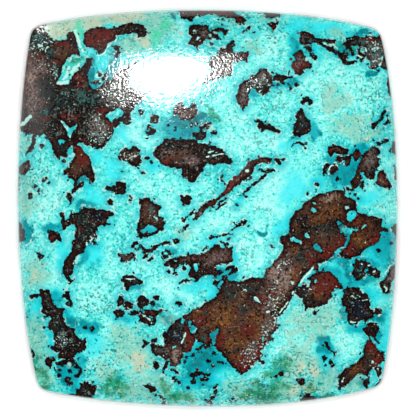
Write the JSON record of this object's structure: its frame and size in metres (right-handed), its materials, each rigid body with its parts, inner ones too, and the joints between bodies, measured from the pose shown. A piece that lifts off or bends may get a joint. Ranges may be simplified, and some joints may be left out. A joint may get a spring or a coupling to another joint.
{
  "type": "polished shattuckite cabochon",
  "caption": "Cushion-shaped polished stone cabochon with a low dome, a short leaning wall and a flat bevelled back for setting or gluing.",
  "frame": {"origin": "middle of the flat back that the stone rests on", "axes": "+Z out of the back towards the crown of the dome, +Y along the stone's length towards the picture's top edge, +X along its width to the picture's right"},
  "size_m": [0.0305, 0.0318, 0.006],
  "materials": {
    "polished_shattuckite": "turquoise-blue copper silicate with red-brown and near-black copper and iron oxide patches, cut and polished to a high gloss"
  },
  "bodies": {
    "root": {"shattuckite_cabochon": "polished_shattuckite"}
  },
  "joints": []
}
